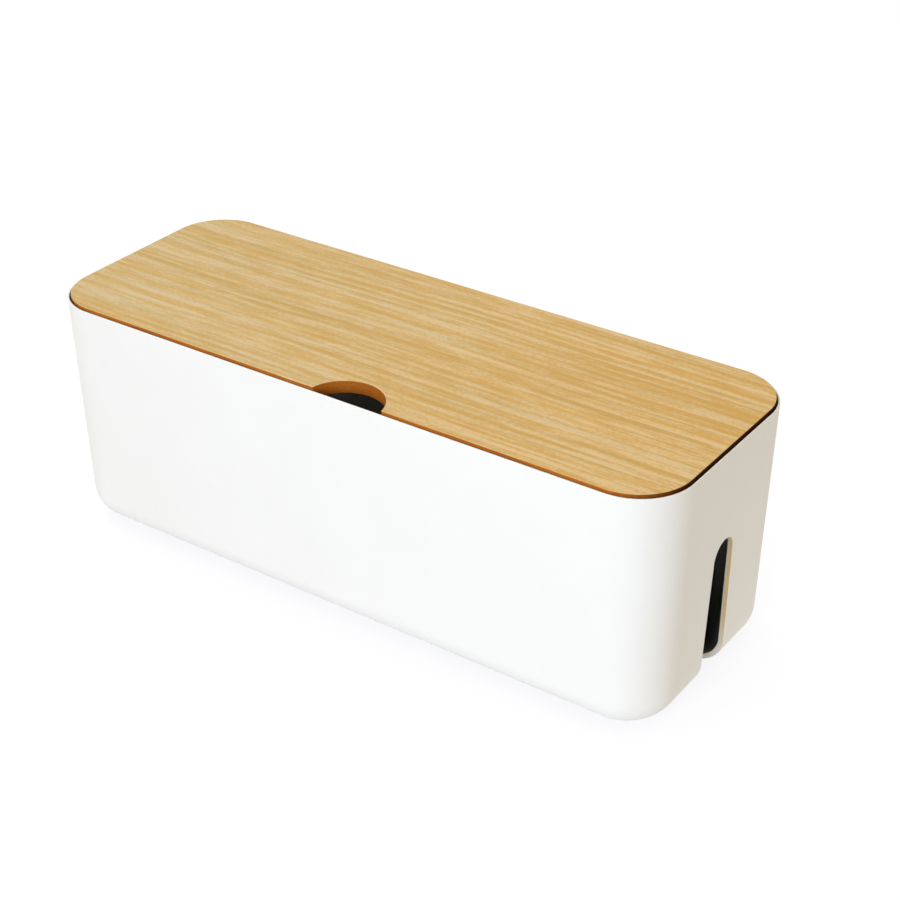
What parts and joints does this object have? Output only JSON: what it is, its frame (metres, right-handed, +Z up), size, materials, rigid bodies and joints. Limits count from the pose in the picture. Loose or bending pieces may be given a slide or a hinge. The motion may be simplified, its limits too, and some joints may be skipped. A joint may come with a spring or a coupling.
{
  "type": "cable management box",
  "caption": "Long rounded plastic tub with a round-topped cable slot in each end wall and an inset wood-faced lift-off lid with a half-moon finger notch.",
  "frame": {"origin": "centre of the plane that the feet stand on, under the middle of the box", "axes": "+X along the length, -Y towards the front with the finger notch, +Z up"},
  "size_m": [0.4, 0.146, 0.1463],
  "materials": {
    "tub_plastic": "satin moulded white plastic with a very fine texture",
    "foot_rubber": "soft matt light grey pad",
    "lid_board": "stained and sealed board edge, satin",
    "lid_face": "light oak face with straight grain along the lid, satin",
    "lid_back": "plain balancing sheet, matt"
  },
  "bodies": {
    "box": {"tub": "tub_plastic", "foot_front_left": "foot_rubber", "foot_front_right": "foot_rubber", "foot_rear_left": "foot_rubber", "foot_rear_right": "foot_rubber"},
    "lid": {"lid_core": "lid_board", "lid_veneer": "lid_face", "lid_backing": "lid_back"}
  },
  "joints": [
    {"name": "lid_lift", "type": "slide", "parent": "box", "child": "lid", "axis": [0, 0, 1], "range_m": [0, 0.15]}
  ]
}
